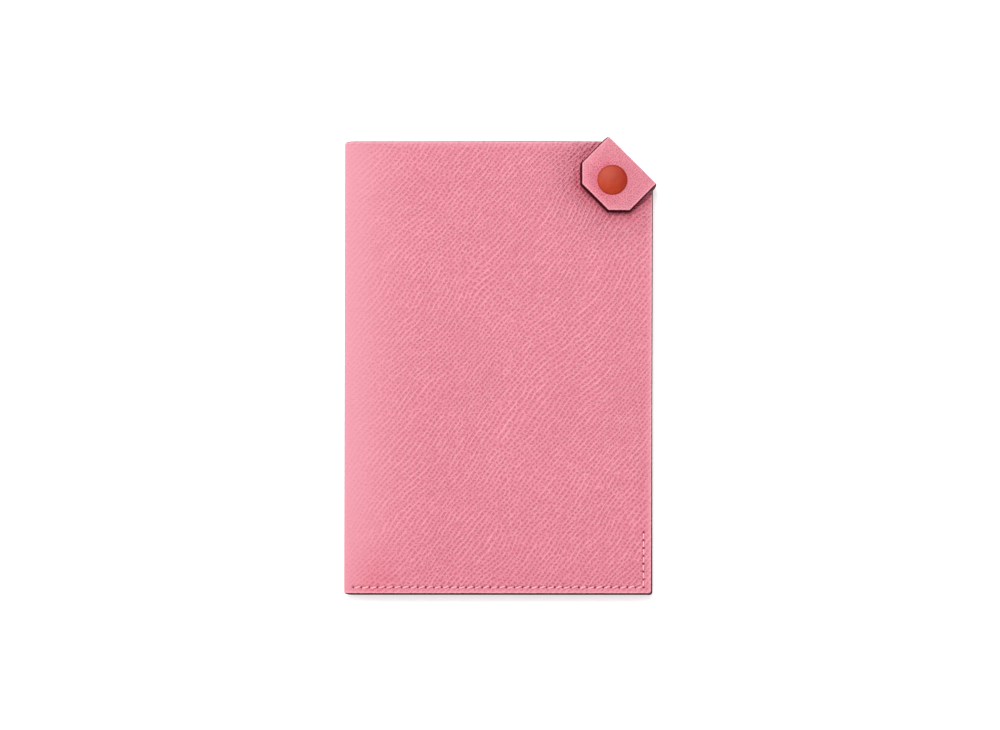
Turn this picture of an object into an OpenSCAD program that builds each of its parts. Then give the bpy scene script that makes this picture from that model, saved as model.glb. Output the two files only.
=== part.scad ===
// Passport holder in soft leather, closed: two covers and a spine, a patch pocket
// inside each cover, and a corner tab that wraps from the back cover over the
// front corner and snaps shut.
// The holder lies on its back cover. +X points to the fore edge (the spine is at
// -X), +Y to the top edge and +Z up. The origin is the centre of the back face.

/* [Cover] */
// Width of the closed cover, from the spine to the fore edge
cover_w = 95; // [92:1:115]
// Height of the cover, from the bottom edge to the top edge
cover_h = 140; // [132:1:170]
// Space for the passport, between the two pocket panels
passport_gap = 4.4; // [4.2:0.1:8]
// Radius of the bottom fore corners
corner_r = 1.5; // [0.5:0.1:2]

/* [Leather] */
// Thickness of the outer leather
leather_t = 1; // [0.9:0.05:1.2]
// Thickness of the lining leather
lining_t = 0.7; // [0.6:0.05:1]
// Thickness of the pocket leather
pocket_t = 0.7; // [0.6:0.05:1]

/* [Pockets] */
// Height of the pocket at the fore edge
pocket_fore_h = 20; // [19:0.5:30]
// Height of the pocket at the spine
pocket_spine_h = 95; // [40:1:110]

/* [Corner tab] */
// Width of the tab along its fold
tab_w = 21; // [20:0.5:22]
// Distance from the cover's square corner in to the tab's outer face
tab_setback = 8.8; // [8.6:0.1:9.2]
// Length of the flap, from the fold's outer face to its end
flap_len = 16.1; // [15:0.1:18]
// Size of the cut at the two end corners of the flap
flap_cut = 4.7; // [3:0.1:5.5]
// Distance from the fold's outer face to the centre of the snap
snap_setback = 8.6; // [8:0.1:9]

/* [Snap] */
// Diameter of the snap's cap
cap_d = 9.3; // [8.5:0.1:10]
// Thickness of the snap's cap
cap_t = 0.9; // [0.8:0.05:1.2]
// Diameter of the flanges of the stud and the socket
flange_d = 8; // [7.5:0.1:8.4]
// Diameter of the flange of the post, inside the front cover
post_flange_d = 6.4; // [5:0.1:7]
// Diameter of the stud's bulb, at its widest
bulb_d = 3.1; // [3:0.05:3.2]

/* [Stitching] */
// Spacing of the stitch holes, rounded to a whole number of stitches
stitch_pitch = 2.5; // [2.2:0.1:3.5]
// Distance from the bottom edge to the seam
seam_inset = 1.95; // [1.8:0.05:3]
// Distance from the fore edge to the seam
seam_fore_inset = 2.5; // [2:0.05:3.5]
// Height of the seam along the fore edge
seam_rise = 17; // [10:0.5:17.5]

/* [Hidden] */
$fn = 64;

// Edge of the square thread, and the diameter of a stitch hole
thread = 0.3;
stitch_hole_d = 0.8;
stitch_hole_fn = 24;
// Depth and width of the groove that a seam lies in, and its inset from the face
thread_inset = 0.02;
groove_t = thread + 2 * thread_inset;
groove_w = 0.5;
// Half the distance between the two threads that share a hole
thread_split = 0.02;
// Distance from the spine's outer face to the first stitch hole
seam_start = 2.8;

// Every fold is a roll of leather on the fold's axis, one leather deep, with a
// working gap to the standing ply that turns about it.
fold_r = leather_t;
fold_gap = 0.15;
fold_reach = 2 * fold_r + fold_gap;
// Gap between the front cover's cut corner and the tab's lining
tab_gap = 0.4;

// Heights of the plies, from the back face up
ply_stack = leather_t + lining_t + pocket_t;
body_t = 2 * ply_stack + passport_gap;
// Height of the closed snap between the front cover and the flap
snap_gap = 2.2;
flap_z = body_t + snap_gap;
flap_t = lining_t + leather_t;
tab_top = flap_z + flap_t;

// Plan positions
spine_x = -cover_w / 2;
fore_x = cover_w / 2;
bottom_y = -cover_h / 2;
top_y = cover_h / 2;
fold_x = spine_x + fold_r;
panel_x = spine_x + fold_reach;
// Distances along the tab's own axis, which runs outwards through the corner
tab_axis_x = -tab_setback - fold_r;
corner_cut_x = -tab_setback - leather_t - lining_t - tab_gap;
snap_x = -tab_setback - snap_setback;
flap_end_x = -tab_setback - flap_len;
flap_panel_x = -tab_setback - fold_reach;

// Snap: the shafts, the bores that they pass through and the turned profiles
shaft_r = 0.9;
shaft_hole_r = 1;
shaft_clearance = 0.05;
stud_flange_t = 0.3;
neck_r = 1.3;
neck_top = 0.85;
bulb_z = 1.15;
bulb_top = 1.6;
bulb_crown_r = 0.5;
post_flange_t = 0.4;
post_top = 1.2;
socket_bottom = 0.4;
socket_lip_t = 0.2;
socket_lip_r = 1.7;
socket_inner_r = 2;
socket_outer_r = 2.6;
socket_plate_t = 0.25;
rivet_r = 1.5;
rivet_t = 0.25;
spring_r = 1.65;
spring_wire_r = 0.2;
cap_edge_r = 0.35;
disc_r = 3.6;
disc_t = 0.25;
disc_clearance = 0.05;

// Stitch holes: whole numbers of stitches, then the real steps
seam_x = spine_x + seam_start;
seam_end_x = fore_x - seam_fore_inset;
seam_y = bottom_y + seam_inset;
bottom_count = round((seam_end_x - seam_x) / stitch_pitch);
fore_count = round(seam_rise / stitch_pitch);
bottom_step = (seam_end_x - seam_x) / bottom_count;
fore_step = seam_rise / fore_count;

eps = 0.01;
hide = "#eb8e9f";
hide_inner = "#d9798c";
thread_pink = "#ffb9c2";
lacquer = "#c04b3a";
steel = "#b9b6b0";
board = "#c9b79a";

// Points of an arc about (x, y), from angle a0 to angle a1
function arc(x, y, r, a0, a1, steps = 6) =
  [for (i = [0 : steps]) let (a = a0 + (a1 - a0) * i / steps) [x + r * cos(a), y + r * sin(a)]];

// Places: the tab's frame has its origin at the cover's square top fore corner,
// +X outwards along the diagonal and +Y along the tab's folds.
module at_corner() {
  translate([fore_x, top_y, 0])
    rotate([0, 0, 45])
      children();
}

module at_snap(z) {
  at_corner()
    translate([snap_x, 0, z])
      children();
}

// The front cover's plies are the back cover's, turned over about mid height
module turned_over() {
  translate([0, 0, body_t])
    mirror([0, 0, 1])
      children();
}

// Flat shapes
module corner_waste(r) {
  difference() {
    translate([-r, -eps])
      square([r + eps, r + eps]);
    translate([-r, r])
      circle(r);
  }
}

// A panel from x0 to the fore edge, with the bottom fore corner rounded and the
// top fore corner cut off square to the diagonal at cut_x
module panel_outline(x0, cut_x) {
  difference() {
    translate([x0, bottom_y])
      square([fore_x - x0, cover_h]);
    translate([fore_x, bottom_y])
      corner_waste(corner_r);
    translate([fore_x, top_y])
      rotate(45)
        translate([cut_x, -cover_w / 2])
          square([cover_w, cover_w]);
  }
}

module stitch_holes() {
  for (i = [0 : bottom_count])
    translate([seam_x + i * bottom_step, seam_y])
      circle(d = stitch_hole_d, $fn = stitch_hole_fn);
  for (i = [1 : fore_count])
    translate([seam_end_x, seam_y + i * fore_step])
      circle(d = stitch_hole_d, $fn = stitch_hole_fn);
}

// The groove runs half a hole past the first and last stitch
module seam_groove() {
  over = stitch_hole_d / 2;
  translate([seam_x - over, seam_y - groove_w / 2])
    square([seam_end_x - seam_x + over + groove_w / 2, groove_w]);
  translate([seam_end_x - groove_w / 2, seam_y - groove_w / 2])
    square([groove_w, seam_rise + over + groove_w / 2]);
}

module flap_outline(x1) {
  side = tab_w / 2;
  polygon([
    [x1, -side],
    [x1, side],
    [flap_end_x + flap_cut, side],
    [flap_end_x, side - flap_cut],
    [flap_end_x, flap_cut - side],
    [flap_end_x + flap_cut, -side]
  ]);
}

// The pocket's mouth runs straight from the spine down to the fore edge
module pocket_outline() {
  intersection() {
    panel_outline(panel_x, corner_cut_x);
    polygon([
      [panel_x, bottom_y],
      [fore_x, bottom_y],
      [fore_x, bottom_y + pocket_fore_h],
      [panel_x, bottom_y + pocket_spine_h]
    ]);
  }
}

// Folds
module fold_roll(length, r = fold_r) {
  rotate([90, 0, 0])
    cylinder(r = r, h = length, center = true);
}

// A ply that stands between two folds: its outer face is at x = 0
module standing_leather(width, height) {
  difference() {
    translate([0, -width / 2, fold_r])
      cube([leather_t, width, height - 2 * fold_r]);
    for (z = [fold_r, height - fold_r])
      translate([fold_r, 0, z])
        fold_roll(width + 1, fold_r + fold_gap);
  }
}

module standing_lining(width, height) {
  translate([leather_t, -width / 2, fold_reach])
    cube([lining_t, width, height - 2 * fold_reach]);
}

// Plies of a cover, outer face down at z = 0
module cover_ply() {
  difference() {
    linear_extrude(leather_t)
      difference() {
        children();
        stitch_holes();
      }
    translate([0, 0, -eps])
      linear_extrude(groove_t + eps)
        seam_groove();
  }
  translate([fold_x, 0, fold_r])
    fold_roll(cover_h);
}

module lining_ply() {
  translate([0, 0, leather_t])
    linear_extrude(lining_t)
      difference() {
        panel_outline(panel_x, corner_cut_x);
        stitch_holes();
      }
}

module pocket_ply() {
  translate([0, 0, leather_t + lining_t])
    difference() {
      linear_extrude(pocket_t)
        difference() {
          pocket_outline();
          stitch_holes();
        }
      translate([0, 0, pocket_t - groove_t])
        linear_extrude(groove_t + eps)
          seam_groove();
    }
}

// One stitch: a closed loop of square thread through two holes and all three plies
module stitch(step) {
  length = step - 2 * thread_split;
  height = ply_stack - 2 * thread_inset;
  translate([thread_split, -thread / 2, thread_inset])
    difference() {
      cube([length, thread, height]);
      translate([thread, -eps, thread])
        cube([length - 2 * thread, thread + 2 * eps, height - 2 * thread]);
    }
}

// The two stitches that meet in the corner hole are one solid
module seam_thread() {
  color(thread_pink) {
    for (i = [0 : bottom_count - 1])
      translate([seam_x + i * bottom_step, seam_y, 0])
        stitch(bottom_step);
    for (i = [0 : fore_count - 1])
      translate([seam_end_x, seam_y + i * fore_step, 0])
        rotate([0, 0, 90])
          stitch(fore_step);
  }
}

// The back cover: its leather runs out to the tab's lower fold
module back_cover_leather() {
  color(hide) {
    cover_ply() {
      panel_outline(fold_x, tab_axis_x);
      at_corner()
        translate([corner_cut_x - 1, -tab_w / 2])
          square([tab_axis_x - corner_cut_x + 1, tab_w]);
    }
    at_corner()
      translate([tab_axis_x, 0, fold_r])
        fold_roll(tab_w);
  }
}

module back_lining() {
  color(hide_inner)
    lining_ply();
}

module back_pocket() {
  color(hide)
    pocket_ply();
}

module back_seam_thread() {
  seam_thread();
}

// The spine
module spine_leather() {
  color(hide)
    translate([spine_x, 0, 0])
      standing_leather(cover_h, body_t);
}

module spine_lining() {
  color(hide_inner)
    translate([spine_x, 0, 0])
      standing_lining(cover_h, body_t);
}

// The front cover
module front_cover_leather() {
  color(hide)
    difference() {
      turned_over()
        cover_ply()
          panel_outline(fold_x, corner_cut_x);
      at_snap(body_t - leather_t - 1)
        cylinder(r = shaft_hole_r, h = leather_t + 2);
    }
}

module front_lining() {
  color(hide_inner)
    difference() {
      turned_over()
        lining_ply();
      at_snap(flap_z - 2 * body_t)
        cylinder(r = shaft_hole_r, h = 2 * body_t);
      at_snap(body_t - leather_t - disc_t)
        cylinder(r = disc_r + disc_clearance, h = disc_t + eps);
    }
}

module front_pocket() {
  color(hide)
    turned_over()
      pocket_ply();
}

module front_seam_thread() {
  turned_over()
    seam_thread();
}

// The tab: a standing wall and a flap over the front corner
module tab_wall_leather() {
  color(hide)
    at_corner()
      translate([-tab_setback, 0, 0])
        mirror([1, 0, 0])
          standing_leather(tab_w, tab_top);
}

module tab_wall_lining() {
  color(hide_inner)
    at_corner()
      translate([-tab_setback, 0, 0])
        mirror([1, 0, 0])
          standing_lining(tab_w, tab_top);
}

module tab_flap_leather() {
  color(hide)
    difference() {
      at_corner() {
        translate([0, 0, tab_top - leather_t])
          linear_extrude(leather_t)
            flap_outline(tab_axis_x);
        translate([tab_axis_x, 0, tab_top - fold_r])
          fold_roll(tab_w);
      }
      at_snap(flap_z)
        cylinder(r = shaft_hole_r, h = flap_t + 1);
    }
}

module tab_flap_lining() {
  color(hide_inner)
    difference() {
      at_corner()
        translate([0, 0, flap_z])
          linear_extrude(lining_t)
            flap_outline(flap_panel_x);
      at_snap(flap_z - 1)
        cylinder(r = shaft_hole_r, h = flap_t + 1);
      at_snap(flap_z + lining_t - disc_t)
        cylinder(r = disc_r + disc_clearance, h = disc_t + eps);
    }
}

// The snap: cap, socket and spring on the flap, stud and post on the front cover
module snap_cap() {
  edge = cap_d / 2;
  stem = snap_gap - socket_plate_t;
  color(lacquer)
    at_snap(tab_top)
      rotate_extrude()
        polygon(concat(
          [[0, -flap_t - socket_plate_t - rivet_t]],
          [[rivet_r, -flap_t - socket_plate_t - rivet_t]],
          [[rivet_r, -flap_t - socket_plate_t]],
          [[shaft_r, -flap_t - socket_plate_t]],
          [[shaft_r, 0]],
          [[edge - 0.1, 0]],
          arc(edge - cap_edge_r, cap_t - cap_edge_r, cap_edge_r, 0, 90),
          [[0, cap_t]]
        ));
}

module snap_socket() {
  color(steel)
    at_snap(body_t)
      rotate_extrude()
        polygon([
          [shaft_hole_r, snap_gap],
          [flange_d / 2, snap_gap],
          [flange_d / 2, snap_gap - socket_plate_t],
          [socket_outer_r, snap_gap - socket_plate_t],
          [socket_outer_r, socket_bottom],
          [socket_lip_r, socket_bottom],
          [socket_lip_r, socket_bottom + socket_lip_t],
          [socket_inner_r, socket_bottom + socket_lip_t],
          [socket_inner_r, snap_gap - socket_plate_t],
          [shaft_hole_r, snap_gap - socket_plate_t]
        ]);
}

module snap_spring() {
  color(steel)
    at_snap(body_t + socket_bottom + socket_lip_t + spring_wire_r + thread_inset)
      rotate_extrude()
        translate([spring_r, 0])
          circle(spring_wire_r);
}

module snap_stud() {
  bulb_r = bulb_d / 2;
  bore_r = shaft_r + shaft_clearance;
  color(steel)
    at_snap(body_t)
      rotate_extrude()
        polygon(concat(
          [[bore_r, 0]],
          [[flange_d / 2, 0]],
          [[flange_d / 2, stud_flange_t]],
          [[neck_r, stud_flange_t]],
          [[neck_r, neck_top]],
          [[bulb_r, bulb_z]],
          arc(bulb_r - bulb_crown_r, bulb_top - bulb_crown_r, bulb_crown_r, 10, 90),
          [[0, bulb_top]],
          [[0, post_top + shaft_clearance]],
          [[bore_r, post_top + shaft_clearance]]
        ));
}

module snap_post() {
  bottom = -leather_t - lining_t - post_flange_t;
  color(steel)
    at_snap(body_t)
      rotate_extrude()
        polygon([
          [0, bottom],
          [post_flange_d / 2, bottom],
          [post_flange_d / 2, bottom + post_flange_t],
          [shaft_r, bottom + post_flange_t],
          [shaft_r, post_top],
          [0, post_top]
        ]);
}

// Reinforcing discs between the plies, round each shaft
module reinforcement(z) {
  color(board)
    at_snap(z)
      difference() {
        cylinder(r = disc_r, h = disc_t);
        translate([0, 0, -eps])
          cylinder(r = shaft_hole_r, h = disc_t + 2 * eps);
      }
}

module cap_reinforcement() {
  reinforcement(flap_z + lining_t - disc_t);
}

module stud_reinforcement() {
  reinforcement(body_t - leather_t - disc_t);
}

back_cover_leather();
spine_leather();
front_cover_leather();
back_lining();
spine_lining();
front_lining();
back_pocket();
front_pocket();
tab_wall_leather();
tab_flap_leather();
tab_wall_lining();
tab_flap_lining();
snap_cap();
snap_socket();
snap_spring();
snap_stud();
snap_post();
cap_reinforcement();
stud_reinforcement();
front_seam_thread();
back_seam_thread();
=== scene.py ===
import math

import bmesh
import bpy
import numpy as np
from mathutils import Matrix, Vector


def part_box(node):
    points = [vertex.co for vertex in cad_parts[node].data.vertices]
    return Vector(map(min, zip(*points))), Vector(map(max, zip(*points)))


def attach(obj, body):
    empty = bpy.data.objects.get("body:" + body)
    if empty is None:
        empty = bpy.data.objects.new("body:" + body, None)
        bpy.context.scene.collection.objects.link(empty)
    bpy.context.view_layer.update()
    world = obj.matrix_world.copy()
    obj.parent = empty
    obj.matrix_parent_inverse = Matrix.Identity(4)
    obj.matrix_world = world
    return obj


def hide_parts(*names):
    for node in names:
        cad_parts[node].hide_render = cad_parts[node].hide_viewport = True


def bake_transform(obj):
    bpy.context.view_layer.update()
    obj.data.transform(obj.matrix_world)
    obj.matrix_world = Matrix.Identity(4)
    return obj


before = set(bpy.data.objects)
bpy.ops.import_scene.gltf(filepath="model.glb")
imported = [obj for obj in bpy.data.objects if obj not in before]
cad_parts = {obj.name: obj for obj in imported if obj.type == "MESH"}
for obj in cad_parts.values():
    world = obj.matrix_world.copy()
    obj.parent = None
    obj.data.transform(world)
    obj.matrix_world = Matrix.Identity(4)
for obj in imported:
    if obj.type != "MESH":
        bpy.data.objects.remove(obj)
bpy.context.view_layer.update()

# The looks of a soft leather passport holder, lying closed on its back cover.
# Lengths are in metres. The hide is worked out flat first: s runs from the middle
# of the spine towards a fore edge, t runs up the cover, and n is the depth below
# the hide's outer face. "Place" functions fold that flat sheet round the holder.

MM = 0.001
ROOT_HALF = math.sqrt(0.5)
OUT = Vector((ROOT_HALF, ROOT_HALF, 0))
ALONG = Vector((-ROOT_HALF, ROOT_HALF, 0))


# ---------- from the frame

def span(node, direction, origin):
    """Lowest and highest distance of a CAD node's vertices along a direction."""
    values = [(v.co - origin).dot(direction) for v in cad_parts[node].data.vertices]
    return min(values), max(values)


cover_low, cover_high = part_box("front_cover_leather")
spine_low, spine_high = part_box("spine_leather")
SPINE_X, BOTTOM_Y = cover_low.x, cover_low.y
FORE_X, TOP_Y, BODY_T = cover_high
LEATHER_T = spine_high.x - spine_low.x
LINING_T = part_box("back_lining")[1].z - LEATHER_T
POCKET_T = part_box("back_pocket")[1].z - LEATHER_T - LINING_T
PLY_T = LEATHER_T + LINING_T
HALF_T = BODY_T / 2

CORNER = Vector((FORE_X, TOP_Y, 0))
WALL_U = span("tab_wall_leather", OUT, CORNER)[1]
TAB_HALF = span("tab_wall_leather", ALONG, CORNER)[1]
TAB_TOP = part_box("tab_flap_leather")[1].z
FLAP_END = span("tab_flap_leather", OUT, CORNER)[0]
FLAP_CUT = (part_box("tab_flap_leather")[0].x - FORE_X) / ROOT_HALF - FLAP_END + TAB_HALF
CUT_U = span("front_cover_leather", OUT, CORNER)[1]

cap_low, cap_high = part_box("snap_cap")
SNAP = Vector(((cap_low.x + cap_high.x) / 2, (cap_low.y + cap_high.y) / 2, 0))
SNAP_U = (SNAP - CORNER).dot(OUT)
CAP_R = (cap_high.x - cap_low.x) / 2
CAP_TOP = cap_high.z

thread_low, thread_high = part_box("front_seam_thread")
THREAD_HALF = 0.15 * MM
SEAM_X0 = thread_low.x
SEAM_X1 = thread_high.x - THREAD_HALF
SEAM_Y0 = thread_low.y + THREAD_HALF
SEAM_Y1 = thread_high.y
PITCH = 2.5 * MM


# ---------- the folded hide

SPINE_R = 2.1 * MM        # outer radius of the spine's two bends
SPINE_BOW = 0.2 * MM      # how far the spine bows outwards
TAB_R = 2.2 * MM          # outer radius of the tab's two folds
TAB_BOW = 0.4 * MM        # how far the tab's wall bows outwards
SKEW = 0.0024             # the front cover's slight turn off square, per length
DOME_H = 0.85 * MM        # rise of the soft front cover above its edges
DIP_H = 0.45 * MM         # how far the front cover is drawn down round the flap
WRINKLE_H = 0.26 * MM     # height of the small folds beside the flap
DROOP_H = 0.8 * MM        # how far the flap's free corners hang down
CREEP = 0.42              # how far the tab's inner plies stand out at its end, per depth
SPLAY = 0.14              # and at its sides

S_WALL = HALF_T - SPINE_R
S_BEND = S_WALL + SPINE_R * math.pi / 2
X_FLAT = SPINE_X + SPINE_R
S_SHIFT = S_BEND - X_FLAT   # s = x + S_SHIFT on the flat of a cover
S_FORE = FORE_X + S_SHIFT

FLARE = 0.7 * MM            # how far in from the tab's own sides it leaves the cover
JOIN_U = -TAB_HALF - FLARE  # where the tab starts, as wide as the cover's cut there
WALL_H = TAB_TOP - 2 * TAB_R
A_FOLD = WALL_U - TAB_R - JOIN_U
A_WALL = A_FOLD + TAB_R * math.pi / 2
A_MID = A_WALL + WALL_H / 2
A_FLAP = A_WALL + WALL_H + TAB_R * math.pi / 2
A_END = A_FLAP + WALL_U - TAB_R - FLAP_END
A_SNAP = A_FLAP + WALL_U - TAB_R - SNAP_U


def smooth(t):
    t = np.clip(t, 0, 1)
    return t * t * (3 - 2 * t)


def bell(x, width):
    return np.exp(-(x / width) ** 2)


def segment_distance(points, segments):
    """Distance from each 2-D point to the nearest of the segments (a, b)."""
    best = np.full(len(points), 1e9)
    for a, b in segments:
        a, b = np.array(a, float), np.array(b, float)
        d = b - a
        w = np.clip(((points - a) @ d) / (d @ d), 0, 1)
        best = np.minimum(best, np.linalg.norm(points - a - w[:, None] * d, axis=1))
    return best


def chain(points):
    return list(zip(points[:-1], points[1:]))


def flap_plan():
    """The flap's outline seen from above, in x and y."""
    inner = [(FLAP_END + FLAP_CUT, TAB_HALF), (FLAP_END, TAB_HALF - FLAP_CUT)]
    side = [(WALL_U, TAB_HALF)] + inner
    around = side + [(u, -v) for u, v in reversed(side)]
    return [(CORNER + OUT * u + ALONG * v)[:2] for u, v in around]


FLAP_EDGES = chain(flap_plan())
rng = np.random.default_rng(7)
WAVES = [
    (rng.uniform(0, 2 * math.pi), rng.uniform(0, 2 * math.pi), length * MM, depth * MM)
    for length, depth in ((34, 0.05), (27, 0.05), (21, 0.04), (16, 0.03), (13, 0.025), (10, 0.02))
    for _ in range(2)
]


def ripple(x, y):
    """Soft unevenness of an unlined stretch of leather."""
    total = np.zeros_like(x)
    for angle, phase, length, depth in WAVES:
        along = x * math.cos(angle) + y * math.sin(angle)
        total += depth * np.sin(along * 2 * math.pi / length + phase)
    return total


def snap_distance(x, y):
    return np.hypot(x - SNAP.x, y - SNAP.y)


def flap_distance(x, y):
    return segment_distance(np.column_stack([x, y]), FLAP_EDGES)


def tab_axes(x, y):
    """Distance out past the cover's corner, and along the cut across it."""
    off = np.column_stack([x, y]) - np.array(CORNER)[:2]
    return off @ np.array(OUT)[:2], off @ np.array(ALONG)[:2]


def flap_outside(u, v):
    """How far outside the flap's outline a point is, and less than 0 under the flap."""
    side = np.abs(v) - TAB_HALF
    end = FLAP_END - u
    return np.maximum(np.maximum(side, end), (side + FLAP_CUT + end) * ROOT_HALF)


def wrinkles(x, y):
    """Small folds in the cover that run round the flap, strongest on its upper left."""
    u, v = tab_axes(x, y)
    beside = flap_outside(u, v)
    sector = smooth((v + 3 * MM) / (9 * MM)) * smooth((WALL_U - u) / (4 * MM))
    fade = smooth(beside / (1.2 * MM)) * np.exp(-np.clip(beside, 0, None) / (4.5 * MM))
    bent = beside + 0.45 * MM * np.sin(u / (2.7 * MM)) + 0.25 * MM * np.sin(v / (1.9 * MM))
    return WRINKLE_H * np.sin(bent * 2 * math.pi / (2.0 * MM)) * fade * sector


def dome(x, y):
    """Height of the front cover's outer face above its flat CAD face."""
    away = np.clip(x - SPINE_X - 0.8 * MM, 0, None)
    rise = 1 - np.exp(-away / (13 * MM))
    fore = 1 - 0.55 * np.exp(-(FORE_X - x) / (9 * MM))
    bottom = 1 - 0.8 * np.exp(-(y - BOTTOM_Y) / (8 * MM))
    top = 1 - 0.6 * np.exp(-(TOP_Y - y) / (7 * MM))
    r = snap_distance(x, y)
    free = smooth((r - 4.5 * MM) / (20 * MM))
    dip = DIP_H * bell(flap_distance(x, y), 3.5 * MM) * smooth((r - 5 * MM) / (4 * MM))
    swell = (DOME_H * fore * bottom * top + ripple(x, y)) * rise
    return swell * free - dip + wrinkles(x, y)


def section(s):
    """x, height above mid height, and the inward normal, along half the cover's section."""
    phi = np.clip((s - S_WALL) / SPINE_R, 0, math.pi / 2)
    x = SPINE_X + SPINE_R * (1 - np.cos(phi)) + np.clip(s - S_BEND, 0, None)
    h = np.minimum(s, S_WALL) + SPINE_R * np.sin(phi)
    x = x - SPINE_BOW * (1 - smooth(h / HALF_T)) * np.cos(phi)
    return x, h, np.cos(phi), -np.sin(phi)


def spine_end(s, t):
    """t with the ends of the spine drawn in a little, which rounds the corners there."""
    pull = 0.36 * MM * bell(s, 3.4 * MM) * smooth((np.abs(t) - TOP_Y + 7 * MM) / (7 * MM))
    return t - np.sign(t) * pull


def place_front(p, n):
    x, h, nx, nh = section(p[:, 0])
    y = spine_end(p[:, 0], p[:, 1])
    z = HALF_T + h + dome(x, y)
    x = x + SKEW * (x - SPINE_X) * y / TOP_Y
    return np.column_stack([x + nx * n, y, z + nh * n])


def place_back(p, n):
    x, h, nx, nh = section(p[:, 0])
    return np.column_stack([x + nx * n, spine_end(p[:, 0], p[:, 1]), HALF_T - h - nh * n])


def droop(a, b):
    """How far the flap hangs below its level at the snap."""
    r = np.hypot(a - A_SNAP, b)
    free = smooth((a - A_FLAP) / (8 * MM))
    return DROOP_H * np.clip((r - CAP_R) / (5.5 * MM), 0, None) ** 1.6 * free


def place_tab(p, n):
    a, b = p[:, 0], p[:, 1]
    phi = np.clip((a - A_FOLD) / TAB_R, 0, math.pi / 2)
    psi = np.clip((a - A_WALL - WALL_H) / TAB_R, 0, math.pi / 2)
    flat = np.clip(a - A_FLAP, 0, None)
    u = JOIN_U + np.minimum(a, A_FOLD) + TAB_R * np.sin(phi) - TAB_R * (1 - np.cos(psi)) - flat
    z = TAB_R * (1 - np.cos(phi)) + np.clip(a - A_WALL, 0, WALL_H) + TAB_R * np.sin(psi)
    u = u + TAB_BOW * np.sin(phi) * smooth(1.35 - np.abs(a - A_MID) / (0.75 * WALL_H))
    u = u - np.sin(phi + psi) * n - CREEP * n * smooth((a - A_FLAP - 3 * MM) / (8 * MM))
    z = z + np.cos(phi + psi) * n - droop(a, b)
    b = b * (1 + SPLAY * n / TAB_HALF * smooth((a - A_WALL) / (6 * MM)))
    return np.array(CORNER) + np.outer(u, OUT) + np.outer(b, ALONG) + np.outer(z, (0, 0, 1))


def front_flat(p):
    return p


def back_flat(p):
    return np.column_stack([-p[:, 0], p[:, 1]])


def tab_flat(p):
    """The tab runs on from the back cover's corner, so its grain does too."""
    u, v = JOIN_U + p[:, 0], p[:, 1]
    x = FORE_X + (u - v) * ROOT_HALF
    y = TOP_Y + (u + v) * ROOT_HALF
    return np.column_stack([-(x + S_SHIFT), y])


# ---------- sheets and plies

EDGE_ROWS = [0, 0.1, 0.2, 0.32, 0.5, 0.75, 0.95, 1.1, 1.25, 1.45, 1.7, 1.95, 2.2, 2.5, 2.9, 3.4]
EDGE_ROWS = [row * MM for row in EDGE_ROWS]
GRID = 0.8 * MM
CORNER_R = 0.85 * MM
CORNER_STEPS = 6


def lines(low, high, step, rows_low=(), rows_high=()):
    """Grid lines from low to high: even steps, with closer rows at either end."""
    start = low + (rows_low[-1] if rows_low else 0)
    stop = high - (rows_high[-1] if rows_high else 0)
    count = max(1, round((stop - start) / step))
    middle = np.linspace(start, stop, count + 1)
    parts = [[low + r for r in rows_low[:-1]], middle, [high - r for r in reversed(rows_high[:-1])]]
    return np.concatenate(parts)


def sheet(us, vs, cuts=(), scores=()):
    """A flat grid of quads, cut off beyond some lines and scored along others."""
    bm = bmesh.new()
    grid = [[bm.verts.new((u, v, 0)) for v in vs] for u in us]
    for i in range(len(us) - 1):
        for j in range(len(vs) - 1):
            bm.faces.new((grid[i][j], grid[i + 1][j], grid[i + 1][j + 1], grid[i][j + 1]))
    for group, clear in ((cuts, True), (scores, False)):
        for point, normal in group:
            geom = bm.verts[:] + bm.edges[:] + bm.faces[:]
            bmesh.ops.bisect_plane(
                bm, geom=geom, dist=1e-8, plane_co=(*point, 0), plane_no=(*normal, 0), clear_outer=clear
            )
    return bm


def refine(bm, near, cuts=3):
    """Splits the faces whose centres are near a seam into a finer grid."""
    centres = np.array([f.calc_center_median()[:2] for f in bm.faces])
    chosen = near(centres)
    edges = {e for f, use in zip(bm.faces, chosen) if use for e in f.edges}
    bmesh.ops.subdivide_edges(bm, edges=list(edges), cuts=cuts, use_grid_fill=True)


def taken(bm):
    """The sheet's points and faces, and frees it."""
    bm.verts.index_update()
    points = np.array([v.co[:2] for v in bm.verts])
    faces = [[v.index for v in f.verts] for f in bm.faces]
    bm.free()
    return points, faces


def arc_points(x, y, radius, start, stop, steps):
    """A quarter round, or part of one, about (x, y), from angle to angle in degrees."""
    angles = [math.radians(start + (stop - start) * k / steps) for k in range(steps + 1)]
    return [(x + radius * math.cos(w), y + radius * math.sin(w)) for w in angles]


def rolled(d, radius):
    """Depth of a rounded edge at distance d in from it."""
    if radius <= 0:
        return np.zeros_like(d)
    w = np.clip(1 - d / radius, 0, 1)
    return radius * (1 - np.sqrt(1 - w * w))


def border(faces):
    """Edges that belong to one face only, as (a, b) in that face's own order."""
    seen = {}
    for f in faces:
        for a, b in zip(f, f[1:] + f[:1]):
            key = (min(a, b), max(a, b))
            seen[key] = None if key in seen else (a, b)
    return [e for e in seen.values() if e]


def link_object(name, data):
    obj = bpy.data.objects.new(name, data)
    bpy.context.scene.collection.objects.link(obj)
    return obj


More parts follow.
